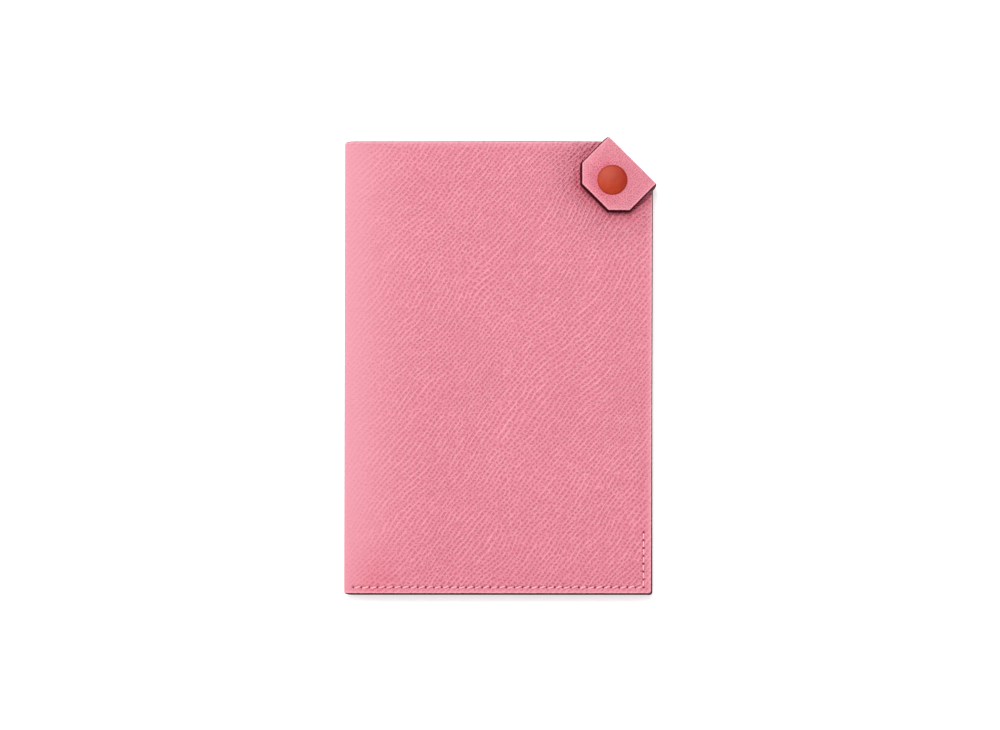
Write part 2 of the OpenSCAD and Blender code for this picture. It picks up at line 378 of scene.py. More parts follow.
def new_object(name, points, faces, material, sharp_edges=(), attributes=None):
    mesh = bpy.data.meshes.new(name)
    mesh.from_pydata([tuple(p) for p in points], [], faces)
    for key, values in (attributes or {}).items():
        values = np.asarray(values, np.float32)
        kind, field = ("FLOAT_VECTOR", "vector") if values.ndim == 2 else ("FLOAT", "value")
        mesh.attributes.new(key, kind, "POINT").data.foreach_set(field, values.ravel())
    bm = bmesh.new()
    bm.from_mesh(mesh)
    bmesh.ops.recalc_face_normals(bm, faces=bm.faces[:])
    for f in bm.faces:
        f.smooth = True
    bm.verts.ensure_lookup_table()
    for a, b in sharp_edges:
        edge = bm.edges.get((bm.verts[a], bm.verts[b]))
        if edge:
            edge.smooth = False
    bm.to_mesh(mesh)
    bm.free()
    mesh.materials.append(material)
    return link_object(name, mesh)


def settle(obj, body, node):
    """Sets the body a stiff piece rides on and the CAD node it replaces."""
    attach(obj, body)
    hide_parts(node)


RIM_STEPS = 4
RIM_BULGE = 0.07 * MM
ON_EDGE = 1e-6
FLAP_SHADE_W = 3.0 * MM     # width of the painted shade beside the flap
FLAP_SHADE_FEATHER = 1.3 * MM
RING_W = 2.6 * MM     # and round the cap
SEAM_SHADE_FADE = 28 * MM   # how far up from the bottom the painted shade along the seam fades
PAINT_W = 0.24 * MM   # how far the edge paint runs in over a face
EDGE_HIGHLIGHT_IN = 0.4 * MM     # from the edge to the painted highlight beside the paint


def ply(name, material, outer, inner, place, flat, edges, depth, rolls,
        relief=None, lift=None, fine=None, outside=True):
    """A closed ply of leather: an outer and an inner sheet, joined round their border.

    edges are the ply's painted cut edges in the flat; a border that isn't on one of
    them is where the ply meets its neighbour. depth and rolls are (outer, inner).
    relief gives (depth, mask of painted shade in the stitch holes) at a point, lift the ply's own rise
    off its place, and fine how fine the grain is. outside is False for a ply inside the holder.
    """
    (op, outer_faces), (ip, inner_faces) = outer, inner
    d_outer, d_inner = segment_distance(op, edges), segment_distance(ip, edges)
    rise_outer = lift(op) if lift else 0
    rise_inner = lift(ip) if lift else 0
    sunk, hole = relief(op, d_outer) if relief else (0, np.zeros(len(op)))
    n_outer = depth[0] + rolled(d_outer, rolls[0]) + sunk + rise_outer
    n_inner = depth[1] - rolled(d_inner, rolls[1]) + rise_inner
    match = {(round(x, 7), round(y, 7)): i for i, (x, y) in enumerate(ip)}
    rim = border(outer_faces)
    rim_points = sorted({a for e in rim for a in e})
    pair = {a: match[(round(op[a][0], 7), round(op[a][1], 7))] for a in rim_points}

    # Outward direction in the flat at each rim point, for the rim's bulge
    rp = op[rim_points]
    turns = {a: np.zeros(2) for a in rim_points}
    on_edge = {(a, b): d_outer[a] < ON_EDGE and d_outer[b] < ON_EDGE for a, b in rim}
    for a, b in rim:
        if on_edge[a, b]:
            step = op[b] - op[a]
            for v in (a, b):
                turns[v] += (step[1], -step[0])
    outward = np.array([turns[a] / max(np.linalg.norm(turns[a]), 1e-12) for a in rim_points])

    points = [place(op, n_outer), place(ip, n_inner)]
    flats = [flat(op), flat(ip)]
    offset = len(op) + len(ip)
    n0 = n_outer[rim_points]
    n1 = n_inner[[pair[a] for a in rim_points]]
    row_index = {}
    for k in range(1, RIM_STEPS):
        w = k / RIM_STEPS
        moved = rp + outward * RIM_BULGE * math.sin(math.pi * w)
        points.append(place(moved, n0 + (n1 - n0) * w))
        flats.append(flat(rp))
        for i, a in enumerate(rim_points):
            row_index[(a, k)] = offset + i
        offset += len(rim_points)

    def corner(a, k):
        if k == 0:
            return a
        return len(op) + pair[a] if k == RIM_STEPS else row_index[(a, k)]

    faces = outer_faces + [[len(op) + i for i in reversed(f)] for f in inner_faces]
    sharp = []
    for a, b in rim:
        for k in range(RIM_STEPS):
            faces.append([corner(b, k), corner(a, k), corner(a, k + 1), corner(b, k + 1)])
        if not on_edge[a, b] or rolls[0] <= 0:
            sharp.append((a, b))
        if not on_edge[a, b] or rolls[1] <= 0:
            sharp.append((corner(a, RIM_STEPS), corner(b, RIM_STEPS)))
        if not on_edge[a, b]:
            sharp += [(corner(v, k), corner(v, k + 1)) for v in (a, b) for k in range(RIM_STEPS)]

    points = np.concatenate(points)
    others = len(points) - len(op)
    depths = np.concatenate([n_outer, n_inner] + [n0] * (RIM_STEPS - 1))
    attributes = {
        "flat": np.column_stack([np.concatenate(flats), depths]) / MM,
        "paint": np.concatenate([
            smooth((PAINT_W - d_outer) / (0.1 * MM)),
            smooth((PAINT_W - 0.04 * MM - d_inner) / (0.1 * MM)),
            np.tile(d_outer[rim_points] < 0.1 * MM, RIM_STEPS - 1),
        ]),
        # Painted shade in the stitch holes
        "hole": np.append(hole, np.zeros(others)),
        "fine": fine(points) if fine else np.zeros(len(points)),
        # Painted highlight: a pale line beside the edge paint, where the rounded edge catches the light
        "lip": np.append(bell(d_outer - EDGE_HIGHLIGHT_IN, 0.17 * MM), np.zeros(others)),
        **surface_state(points, np.append(d_outer, np.full(others, MM)), outside),
    }
    return new_object(name, points, faces, material, sharp, attributes)


def surface_state(points, edge, outside):
    """How strained the leather is, where shade is painted on it, and where it is worn smooth.

    Painted shade darkens it beside the flap, mostly on its lower side, along the bottom
    seam, in the corner by the spine, in the wrinkles and, on the flap, round the cap.
    Near the spine and the edges it is worn, calmer and paler; near the spine the paler
    colour is also a painted highlight.
    """
    x, y, z = points.T
    u, v = tab_axes(x, y)
    flap_face = TAB_TOP - 1.9 * MM
    on_front = (z > HALF_T) & (z < flap_face) & outside
    # Painted shade beside the flap, stronger below it
    below = smooth((TAB_HALF + 1 * MM - v) / (3 * MM))
    beyond = flap_outside(u, v)
    flap_shade_band = bell(np.clip(beyond, 0, None), FLAP_SHADE_W) * smooth(beyond / FLAP_SHADE_FEATHER + 1)
    flap_shade = flap_shade_band * (0.2 + 0.36 * below)
    # Painted shade along the bottom seam, fading upwards
    seam_shade = 0.16 * np.exp(-(y - BOTTOM_Y) / SEAM_SHADE_FADE)
    # Painted shade in the troughs of the wrinkles
    groove_shade = 0.6 * np.clip(-wrinkles(x, y) / WRINKLE_H, 0, 1)
    # Painted shade in the corner by the spine
    corner_shade = 0.34 * bell(x - SPINE_X - 9 * MM, 7 * MM) * bell(y - BOTTOM_Y - 3 * MM, 9 * MM)
    # Painted shade round the cap, on the flap, mostly on the cap's left
    left = smooth((SNAP.x + 2 * MM - x) / (5 * MM))
    ring = bell(snap_distance(x, y) - CAP_R, RING_W)
    cap_shade = 0.5 * ring * (0.3 + 0.7 * left) * (z > flap_face)
    # Paler, calmer grain near the spine: partly worn leather, partly a painted highlight on the rounded
    # spine
    from_spine = np.clip(x - SPINE_X, 0, None) / (11 * MM)
    spine_highlight_and_wear = np.exp(-from_spine ** 1.5) * outside
    near_edge = 0.4 * smooth((2.1 * MM - edge) / (0.9 * MM))
    return {
        "stress": bell(flap_distance(x, y), 9 * MM) * on_front,
        # Painted shade, from all of the marks above
        "deep": (flap_shade + seam_shade + corner_shade + groove_shade) * on_front + cap_shade,
        # Worn, paler grain, which near the spine is also a painted highlight
        "worn_and_highlit": np.maximum(spine_highlight_and_wear, near_edge),
    }


# ---------- node helpers

class Nodes:
    """One material's nodes. What is given to an input is a plain value or a socket."""

    def __init__(self, name):
        self.material = bpy.data.materials.new(name)
        self.material.use_nodes = True
        self.tree = self.material.node_tree
        self.tree.nodes.clear()
        output = self.tree.nodes.new("ShaderNodeOutputMaterial")
        self.shader = self.tree.nodes.new("ShaderNodeBsdfPrincipled")
        self.tree.links.new(self.shader.outputs["BSDF"], output.inputs["Surface"])

    def fill(self, node, inputs):
        """Sets or links a node's inputs, given in order or by name."""
        pairs = inputs.items() if isinstance(inputs, dict) else enumerate(inputs)
        for key, value in pairs:
            if isinstance(value, bpy.types.NodeSocket):
                self.tree.links.new(value, node.inputs[key])
            else:
                node.inputs[key].default_value = value

    def add(self, kind, inputs=(), **settings):
        """Adds a node and gives its outputs."""
        node = self.tree.nodes.new("ShaderNode" + kind)
        for key, value in settings.items():
            setattr(node, key, value)
        self.fill(node, inputs)
        return node.outputs

    def surface(self, inputs):
        """Sets or links the shader's inputs and gives the material."""
        self.fill(self.shader, inputs)
        return self.material

    def math(self, operation, *values, clamp=False):
        return self.add("Math", values, operation=operation, use_clamp=clamp)[0]

    def plus(self, a, b, clamp=False):
        return self.math("ADD", a, b, clamp=clamp)

    def minus(self, a, b):
        return self.math("SUBTRACT", a, b)

    def times(self, a, b):
        return self.math("MULTIPLY", a, b)

    def vector(self, operation, inputs):
        return self.add("VectorMath", inputs, operation=operation)[0]

    def attribute(self, name, output="Fac"):
        return self.add("Attribute", attribute_name=name)[output]

    def flat(self):
        """The place on the flat sheet, in millimetres."""
        return self.attribute("flat", "Vector")

    def mapping(self, vector, rotation=0.0, scale=(1, 1, 1)):
        inputs = {"Vector": vector, "Rotation": (0, 0, rotation), "Scale": scale}
        return self.add("Mapping", inputs)[0]

    def noise(self, vector, scale, detail=2.0, output="Fac"):
        return self.add("TexNoise", {"Vector": vector, "Scale": scale, "Detail": detail})[output]

    def voronoi(self, vector, scale, randomness=1.0, feature="DISTANCE_TO_EDGE"):
        inputs = {"Vector": vector, "Scale": scale, "Randomness": randomness}
        return self.add("TexVoronoi", inputs, voronoi_dimensions="2D", feature=feature)["Distance"]

    def remap(self, value, low, high, to_low=0.0, to_high=1.0, kind="LINEAR"):
        values = (value, low, high, to_low, to_high)
        return self.add("MapRange", values, interpolation_type=kind)[0]

    def scaled(self, value, to_low, to_high):
        """Spreads 0 to 1 over to_low to to_high."""
        return self.remap(value, 0, 1, to_low, to_high)

    def spread(self, value, to_low, to_high):
        """Spreads the usual range of a noise over to_low to to_high."""
        return self.remap(value, 0.3, 0.7, to_low, to_high)

    def mix(self, factor, a, b):
        """Mixes two colours."""
        return self.add("Mix", {"Factor": factor, 6: a, 7: b}, data_type="RGBA")[2]

    def bump(self, height, strength, distance):
        return self.add("Bump", {"Height": height, "Strength": strength, "Distance": distance})[0]


def rgb(*levels):
    """A colour given as it looks on screen (0 to 255), in linear light."""
    shares = [level / 255 for level in levels]
    return (*(c / 12.92 if c <= 0.04045 else ((c + 0.055) / 1.055) ** 2.4 for c in shares), 1)


# ---------- materials

PAINT = rgb(58, 8, 18)
PAINT_WORN = rgb(80, 14, 28)
# Painted shade, for the grain's valleys and ridges
SHADE_VALLEY, SHADE_RIDGE = rgb(172, 20, 54), rgb(230, 88, 114)
# Paler colour where the leather is worn; near the spine it is also a painted highlight
WORN_AND_HIGHLIGHT_TINT = rgb(214, 146, 160)
FINE_TINT = rgb(226, 128, 143)
# Painted highlight, a pale line beside the edge paint
EDGE_HIGHLIGHT_TINT = rgb(255, 186, 196)
# Painted shade in the stitch holes
HOLE_SHADE_TINT = rgb(122, 26, 46)

# Lengths of the grain in millimetres
RIDGE_PITCH = 1.34       # between the long ridges
RUNG_PITCH = 1.15        # between the short cross ridges
RUNG_JITTER = 0.7
GRAIN_TURN = math.radians(-50)
SWIRLS = ((0.028, 9), (0.11, 1.5), (0.6, 0.62))   # scale and amount of the drifts
PEBBLE_SCALE = 1.3


def painted_edge(n, colour, roughness, height):
    """Mixes in the dark paint of the cut edges, and gives the grain that is left."""
    flat = n.flat()
    wobble = n.spread(n.noise(flat, 1.3), -0.25, 0.25)
    mask = n.remap(n.plus(n.attribute("paint"), wobble), 0.4, 0.7, kind="SMOOTHSTEP")
    paint = n.mix(n.noise(flat, 0.6), PAINT, PAINT_WORN)
    n.surface({
        "Base Color": n.mix(mask, colour, paint),
        "Roughness": n.scaled(mask, roughness, 0.56),
        "Specular IOR Level": n.scaled(mask, 0.2, 0.03),
    })
    return n.times(height, n.minus(1, mask))


def swirl(n, flat, scale, amount):
    """A smooth sideways drift of the grain, in millimetres."""
    drift = n.vector("SUBTRACT", (n.noise(flat, scale, 1, "Color"), (0.5, 0.5, 0.5)))
    return n.vector("SCALE", {0: drift, "Scale": amount})


def grain_height(n, flat, fine):
    """Long wavy ridges joined by short cross ridges, turning to pebbles where it is fine."""
    warped = flat
    for scale, amount in SWIRLS:
        warped = n.vector("ADD", (warped, swirl(n, flat, scale, amount)))
    turned_grain = n.mapping(warped, GRAIN_TURN)
    lattice = n.mapping(turned_grain, 0, (1 / RUNG_PITCH, 1 / RIDGE_PITCH, 1))
    row = n.minus(n.add("SeparateXYZ", (lattice,))["Y"], 0.5 + RUNG_JITTER / 2)
    ridges = n.remap(n.math("COSINE", n.times(row, 2 * math.pi)), -0.75, 1)
    ridge_fade = n.noise(n.mapping(turned_grain, 0, (0.22, 0.5, 1)), 1)
    ridges = n.times(ridges, n.remap(ridge_fade, 0.38, 0.62, 0.5, 0.9))
    rungs = n.remap(n.voronoi(lattice, 1, RUNG_JITTER), 0, 0.4, 0.92, 0)
    rung_fade = n.noise(flat, 0.8, 1)
    rungs = n.times(rungs, n.remap(rung_fade, 0.35, 0.65, 0.45, 1))
    coarse = n.math("MAXIMUM", ridges, rungs)
    pebbles = n.remap(n.voronoi(turned_grain, PEBBLE_SCALE, 0.9), 0, 0.4, 1.05, 0.2)
    pebbles = n.plus(n.times(pebbles, 0.8), n.times(coarse, 0.2))
    pores = n.spread(n.noise(flat, 2.4), -0.2, 0.2)
    return n.plus(n.add("Mix", {0: fine, 2: coarse, 3: pebbles})[0], pores)


def grained_leather(name, ridge, valley, strength):
    """Soft embossed leather: calmer and paler where worn, which near the spine is also a painted
    highlight, and darker in places with painted shade.
    """
    n = Nodes(name)
    flat = n.flat()
    fine = n.attribute("fine")
    height = grain_height(n, flat, fine)
    worn_and_highlit = n.attribute("worn_and_highlit")
    # Calmer, lighter grain where worn; near the spine this is also a painted highlight
    calm = n.scaled(worn_and_highlit, 0, 0.75)
    tone = n.times(n.remap(height, 0.05, 0.95), n.minus(1, calm))
    tone = n.plus(tone, n.times(calm, 0.68), clamp=True)
    colour = n.mix(tone, valley, ridge)
    tints = (
        (n.spread(n.noise(flat, 0.04), 0, 0.12), valley),
        # Paler where worn; near the spine also a painted highlight
        (n.scaled(worn_and_highlit, 0, 0.6), WORN_AND_HIGHLIGHT_TINT),
        (n.scaled(fine, 0, 0.3), FINE_TINT),
        # Painted shade beside the flap, along the seam, in the corner, in the wrinkles and round the
        # cap
        (n.scaled(n.attribute("deep"), 0, 0.7),
         n.mix(n.remap(height, 0.1, 0.9), SHADE_VALLEY, SHADE_RIDGE)),
        # Painted highlight beside the edge paint
        (n.scaled(n.attribute("lip"), 0, 0.5), EDGE_HIGHLIGHT_TINT),
        # Painted shade in the stitch holes
        (n.remap(n.attribute("hole"), 0.25, 0.75, kind="SMOOTHSTEP"), HOLE_SHADE_TINT),
    )
    for share, tint in tints:
        colour = n.mix(share, colour, tint)
    kept = painted_edge(n, colour, n.scaled(height, 0.62, 0.44), height)
    strained = n.scaled(n.attribute("stress"), strength, strength * 1.5)
    amount = n.plus(strained, n.scaled(worn_and_highlit, 0, -0.6 * strength))
    return n.surface({"Normal": n.bump(kept, amount, 0.32 * MM)})


def smooth_leather(name, light, dark):
    """Lining leather: fine pores, slight rub marks and a matt face."""
    n = Nodes(name)
    flat = n.flat()
    creases = n.remap(n.voronoi(flat, 1.15), 0, 0.3, kind="SMOOTHSTEP")
    height = n.plus(n.times(creases, 0.65), n.times(n.noise(flat, 3.2, 3), 0.4))
    cloud = n.noise(flat, 0.07, 4)
    rubs = n.noise(n.mapping(flat, 0.3, (0.05, 0.9, 1)), 1, 3)
    colour = n.mix(n.remap(height, 0.2, 0.9), dark, light)
    colour = n.mix(n.spread(cloud, 0, 0.3), colour, dark)
    colour = n.mix(n.remap(rubs, 0.5, 0.75, 0, 0.35), colour, light)
    kept = painted_edge(n, colour, n.spread(cloud, 0.5, 0.64), height)
    return n.surface({"Normal": n.bump(kept, 0.9, 0.2 * MM)})


def waxed_thread(name):
    """Twisted thread: two plies, with fine fibres along them, and painted shade where it dives into the
    holes.
    """
    n = Nodes(name)
    fibres = n.noise(n.mapping(n.flat(), 0, (3, 16, 16)), 1, 3)
    colour = n.mix(fibres, rgb(232, 150, 163), rgb(250, 194, 203))
    return n.surface({
        # Painted shade: darker where the thread dives into a hole
        "Base Color": n.mix(n.scaled(n.attribute("hole"), 0, 1), colour, rgb(150, 62, 78)),
        "Roughness": n.scaled(fibres, 0.5, 0.7),
        "Normal": n.bump(fibres, 0.5, 0.05 * MM),
        "Sheen Weight": 0.2,
    })


def lacquered_metal(name):
    """Satin rust-red lacquer: faint mottling, a few specks, a painted highlight that makes its left
    side lighter, and darker at the rim.
    """
    n = Nodes(name)
    place = n.flat()
    mottle = n.noise(place, 0.5, 4)
    specks = n.remap(n.voronoi(place, 1.1, feature="F1"), 0.04, 0.1, 1, 0)
    # Painted highlight: the lacquer is lighter towards the cap's left, where the light comes from
    lit_side = n.remap(n.add("SeparateXYZ", (place,))["X"], 4.5, -4.5, -0.1, 0.6)
    patchy = n.times(n.spread(mottle, 0, 1), 0.4)
    colour = n.mix(n.plus(lit_side, patchy, clamp=True), rgb(150, 32, 12), rgb(186, 66, 30))
    colour = n.mix(n.times(specks, 0.35), colour, rgb(136, 34, 20))
    rim = n.times(n.scaled(n.attribute("hole"), 0, 0.5), mottle)
    return n.surface({
        "Base Color": n.mix(rim, colour, rgb(116, 26, 26)),
        "Roughness": n.spread(mottle, 0.36, 0.44),
        "Normal": n.bump(n.noise(place, 9), 0.2, 0.02 * MM),
        "Specular IOR Level": 0.16,
    })


def plated_steel(name):
    """Nickel-plated steel, turned: fine rings, and a little tarnish in patches."""
    n = Nodes(name)
    place = n.flat()
    rings = n.noise(n.mapping(place, 0, (14, 0.4, 14)), 1)
    patches = n.remap(n.noise(place, 0.8, 3), 0.35, 0.7)
    return n.surface({
        "Base Color": n.mix(patches, rgb(198, 195, 188), rgb(158, 152, 143)),
        "Roughness": n.remap(rings, 0.2, 0.8, 0.24, 0.4),
        "Normal": n.bump(rings, 0.25, 0.02 * MM),
        "Metallic": 1,
    })


def pressed_board(name):
    """Stiff non-woven board: short fibres pressed flat."""
    n = Nodes(name)
    place = n.mapping(n.add("TexCoord")["Object"], 0, (1 / MM, 1 / MM, 1 / MM))
    fibres = n.noise(n.mapping(place, 0.6, (2, 12, 2)), 1, 4)
    return n.surface({
        "Base Color": n.mix(fibres, rgb(176, 158, 128), rgb(214, 200, 172)),
        "Roughness": n.scaled(fibres, 0.8, 0.95),
        "Normal": n.bump(fibres, 0.4, 0.04 * MM),
    })


HIDE = grained_leather("grained_hide", rgb(237, 156, 171), rgb(204, 108, 127), 1)
POCKET = grained_leather("pocket_hide", rgb(234, 150, 166), rgb(199, 104, 124), 0.85)
LINING = smooth_leather("lining_leather", rgb(228, 138, 153), rgb(176, 80, 101))
THREAD = waxed_thread("waxed_thread")
LACQUER = lacquered_metal("rust_lacquer")
STEEL = plated_steel("plated_steel")
BOARD = pressed_board("pressed_board")


# ---------- cover panels

def seam_points():
    """Stitch holes in the flat (s, t): along the bottom, then up the fore edge."""
    bottom = round((SEAM_X1 - SEAM_X0) / PITCH)
    fore = round((SEAM_Y1 - SEAM_Y0) / PITCH)
    xs = np.linspace(SEAM_X0, SEAM_X1, bottom + 1) + S_SHIFT
    ys = np.linspace(SEAM_Y0, SEAM_Y1, fore + 1)
    return np.array([(x, SEAM_Y0) for x in xs] + [(xs[-1], y) for y in ys[1:]])


SEAM = seam_points()
SEAM_LINE = [(SEAM[0], (SEAM_X1 + S_SHIFT, SEAM_Y0)), ((SEAM_X1 + S_SHIFT, SEAM_Y0), SEAM[-1])]
SEAM_BAND = 0.85 * MM
HOLE_R = 0.31 * MM
CREASE_IN = 1.15 * MM


def near_seam(points):
    inside = points[:, 0] > SEAM[0][0] - 0.15 * MM
    return (segment_distance(points, SEAM_LINE) < SEAM_BAND) & inside


def near_flap(points):
    x, y = points[:, 0] - S_SHIFT, points[:, 1]
    right, up = x - FORE_X, y - TOP_Y
    inside = (right < -0.6 * MM) & (up < -0.6 * MM) & (right + up < CUT_U / ROOT_HALF - MM)
    return (flap_distance(x, y) < 8 * MM) & inside


def seam_relief(points, edge):
    """How far the seam and the edge crease press into the face, and the mask of painted shade in the
    stitch holes.
    """
    q = segment_distance(points, SEAM_LINE)
    r = np.full(len(points), 1.0)
    close = q < 2 * SEAM_BAND
    gaps = points[close][:, None, :] - SEAM[None, :, :]
    r[close] = np.linalg.norm(gaps, axis=2).min(1)
    sunk = 0.36 * MM * bell(q, 0.42 * MM) + 0.3 * MM * bell(r, HOLE_R)
    sunk = sunk + 0.09 * MM * bell(edge - CREASE_IN, 0.16 * MM)
    return sunk, bell(r, HOLE_R * 0.95)


def crease_relief(points, edge):
    """The edge crease alone."""
    return 0.09 * MM * bell(edge - 0.8 * MM, 0.16 * MM), np.zeros(len(points))


def panel_edges(cut_u, open_corner):
    """The painted edges of a cover, from the spine's middle round to it again."""
    cut = cut_u / ROOT_HALF
    arc = arc_points(S_FORE - CORNER_R, BOTTOM_Y + CORNER_R, CORNER_R, -90, 0, CORNER_STEPS)
    low = chain([(0.0, BOTTOM_Y)] + arc + [(S_FORE, TOP_Y + cut)])
    corner = [] if open_corner else [((S_FORE, TOP_Y + cut), (S_FORE + cut, TOP_Y))]
    return low + corner + [((S_FORE + cut, TOP_Y), (0.0, TOP_Y))], arc


def panel_sheet(cut_u, arc, fine, start=0.0, mouth=None, scored=True):
    """One flat sheet of a cover panel, from s = start to the fore edge."""
    bend = list(np.arange(0, S_BEND + 2 * MM, 0.4 * MM))
    us = lines(start, S_FORE, GRID, EDGE_ROWS if start else bend, EDGE_ROWS)
    vs = lines(BOTTOM_Y, TOP_Y, GRID, EDGE_ROWS, EDGE_ROWS)
    tip = np.array([S_FORE, TOP_Y]) + cut_u * np.array(OUT[:2])
    cuts = [(tip, OUT[:2])]
    for a, b in chain(arc):
        run = np.subtract(b, a) / math.dist(a, b)
        cuts.append((a, (run[1], -run[0])))
    scores = []
    if scored:
        scores = [(tip - r * np.array(OUT[:2]), OUT[:2]) for r in EDGE_ROWS[1:7]]
    if mouth:
        point, normal = mouth
        cuts.append(mouth)
        scores += [(point - r * normal, normal) for r in EDGE_ROWS[1:7]]
    bm = sheet(us, vs, cuts, scores)
    if fine:
        refine(bm, near_seam)
        if scored:
            refine(bm, near_flap, 1)
    return taken(bm)


ROLL_OUT = 0.35 * MM
ROLL_IN = 0.22 * MM


def cover_plies(side, place, flat, cut_u, open_corner):
    """The hide and the lining of one cover and its half of the spine."""
    edges, arc = panel_edges(cut_u, open_corner)
    fine, plain = [panel_sheet(cut_u, arc, f, scored=not open_corner) for f in (True, False)]
    hide = ply(f"{side}_hide", HIDE, fine, plain, place, flat, edges,
               (0, LEATHER_T), (ROLL_OUT, 0), seam_relief)
    lining = ply(f"{side}_lining_sheet", LINING, plain, plain, place, flat, edges,
                 (LEATHER_T, PLY_T), (0, ROLL_IN))
    return hide, lining


def cover_bend(obj, covers_first):
    """Bakes a ply's transform into its mesh."""
    if covers_first:
        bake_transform(obj)
    else:
        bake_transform(obj)


front_hide, front_lining = cover_plies("front", place_front, front_flat, CUT_U, False)
back_hide, back_lining = cover_plies("back", place_back, back_flat, JOIN_U, True)
for piece in (front_hide, front_lining):
    cover_bend(piece, False)
for piece in (back_hide, back_lining):
    cover_bend(piece, True)
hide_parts("front_cover_leather")
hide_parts("back_cover_leather", "spine_leather")
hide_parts("front_lining")
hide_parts("back_lining", "spine_lining")


# ---------- pockets

POCKET_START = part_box("back_pocket")[0].x + S_SHIFT
# The mouth falls from the spine side to the fore edge: both heights are the CAD's
mouth_points = [v.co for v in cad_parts["back_pocket"].data.vertices]
MOUTH_SPINE_Y = max(p.y for p in mouth_points)
MOUTH_FORE_Y = max(p.y for p in mouth_points if p.x > FORE_X - 0.01 * MM)


def pocket(side, place, flat, body):
    """One patch pocket: sewn below and at the fore edge, its mouth a little open."""
    a = np.array([POCKET_START, MOUTH_SPINE_Y])
    b = np.array([S_FORE, MOUTH_FORE_Y])
    run = (b - a) / np.linalg.norm(b - a)
    normal = np.array([-run[1], run[0]])
    edges, arc = panel_edges(CUT_U, False)
    edges = [e for e in edges if min(e[0][1], e[1][1]) < MOUTH_FORE_Y - 1e-9]
    edges = [[(max(s, POCKET_START), min(t, MOUTH_FORE_Y)) for s, t in e] for e in edges]
    edges += [(b, a), (a, (POCKET_START, BOTTOM_Y))]
    fine, plain = [panel_sheet(CUT_U, arc, f, POCKET_START, (a, normal), False) for f in (True, False)]

    def open_mouth(points):
        off = (b - points) @ normal
        sewn = segment_distance(points, SEAM_LINE)
        return 0.7 * MM * np.exp(-off / (14 * MM)) * smooth((sewn - 1.5 * MM) / (12 * MM))

    def from_inside(points, n):
        return place(points, 2 * PLY_T + POCKET_T - n)

    obj = ply(f"{side}_pocket_panel", POCKET, fine, plain, from_inside, flat, edges,
              (PLY_T, PLY_T + POCKET_T), (ROLL_IN, 0), seam_relief,
              lambda points: -open_mouth(points), outside=False)
    settle(obj, body, f"{side}_pocket")


pocket("front", place_front, front_flat, "front_cover")
pocket("back", place_back, back_flat, "back_cover")


# ---------- the corner tab

def tab_edges():
    far = 10 * MM
    root = [(-far, TAB_HALF + FLARE + far), (FLARE, TAB_HALF)]
    side = root + [(A_END - FLAP_CUT, TAB_HALF), (A_END, TAB_HALF - FLAP_CUT)]
    return chain(side + [(a, -b) for a, b in reversed(side)])


def flared(cut_sheet):
    """Widens the tab's root to meet the cover's edges."""
    points, faces = cut_sheet
    points[:, 1] *= 1 + np.clip(FLARE - points[:, 0], 0, None) / TAB_HALF
    return points, faces


def tab_sheet(start, stop, cut_corners):
    """Half of the tab in the flat; the flap's half has its two end corners cut off."""
    cuts, scores = [], []
    vs = lines(-TAB_HALF, TAB_HALF, 0.45 * MM, EDGE_ROWS, EDGE_ROWS)
    us = np.concatenate([[start, FLARE / 2], lines(FLARE, stop, 0.4 * MM)])
    if cut_corners:
        us = lines(start, stop, 0.4 * MM, (), EDGE_ROWS)
        for sign in (1, -1):
            normal = np.array([ROOT_HALF, sign * ROOT_HALF])
            point = np.array([A_END, sign * (TAB_HALF - FLAP_CUT)])
            cuts.append((point, normal))
            scores += [(point - r * normal, normal) for r in EDGE_ROWS[1:10]]
    return flared(taken(sheet(us, vs, cuts, scores)))


def fineness(points):
    """The grain turns finer from the tab's root, under the holder, to its wall."""
    u = (points - np.array(CORNER)) @ np.array(OUT)
    return np.where(points[:, 2] > HALF_T, 1.0, smooth((u - JOIN_U) / (WALL_U - JOIN_U)))


def tab_piece(name, material, start, stop, depth, rolls, relief=None):
    cut = tab_sheet(start, stop, stop == A_END)
    return ply(name, material, cut, cut, place_tab, tab_flat, tab_edges(), depth, rolls, relief,
               fine=fineness)


def tab_bend(obj, lower):
    """Bakes a ply's transform into its mesh."""
    if lower:
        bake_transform(obj)
    else:
        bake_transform(obj)


wall_hide = tab_piece("tab_wall_hide", HIDE, 0.0, A_MID, (0, LEATHER_T), (ROLL_OUT, 0), crease_relief)
flap_hide = tab_piece("tab_flap_hide", HIDE, A_MID, A_END, (0, LEATHER_T), (ROLL_OUT, 0), crease_relief)
wall_lining = tab_piece("tab_wall_lining_sheet", LINING, 0.0, A_MID, (LEATHER_T, PLY_T), (0, ROLL_IN))
flap_lining = tab_piece("tab_flap_lining_sheet", LINING, A_MID, A_END, (LEATHER_T, PLY_T), (0, ROLL_IN))
for piece in (wall_hide, wall_lining):
    tab_bend(piece, True)
for piece in (flap_hide, flap_lining):
    tab_bend(piece, False)
for piece, node, name in (
    (wall_hide, "tab_wall_leather", "hide"),
    (flap_hide, "tab_flap_leather", "hide"),
    (wall_lining, "tab_wall_lining", "lining"),
    (flap_lining, "tab_flap_lining", "lining"),
):
    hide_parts(node)


# ---------- the seams

THREAD_R = 0.24 * MM
STITCH_RINGS = 11
STITCH_SIDES = 12
DIVE = 0.34 * MM        # how far a stitch's ends go down into their holes
END_INSET = 0.26 * MM   # from a hole's middle to the end of the stitch
SLANT = 0.62 * MM       # how far a stitch leans across the seam from end to end
WANDER = 0.07 * MM      # how far its middle strays from the seam
LOBE = 0.13             # how much the two plies swell the thread's section
TWIST = 2.6 * math.pi   # turn of the plies along one stitch
stitch_rng = np.random.default_rng(11)


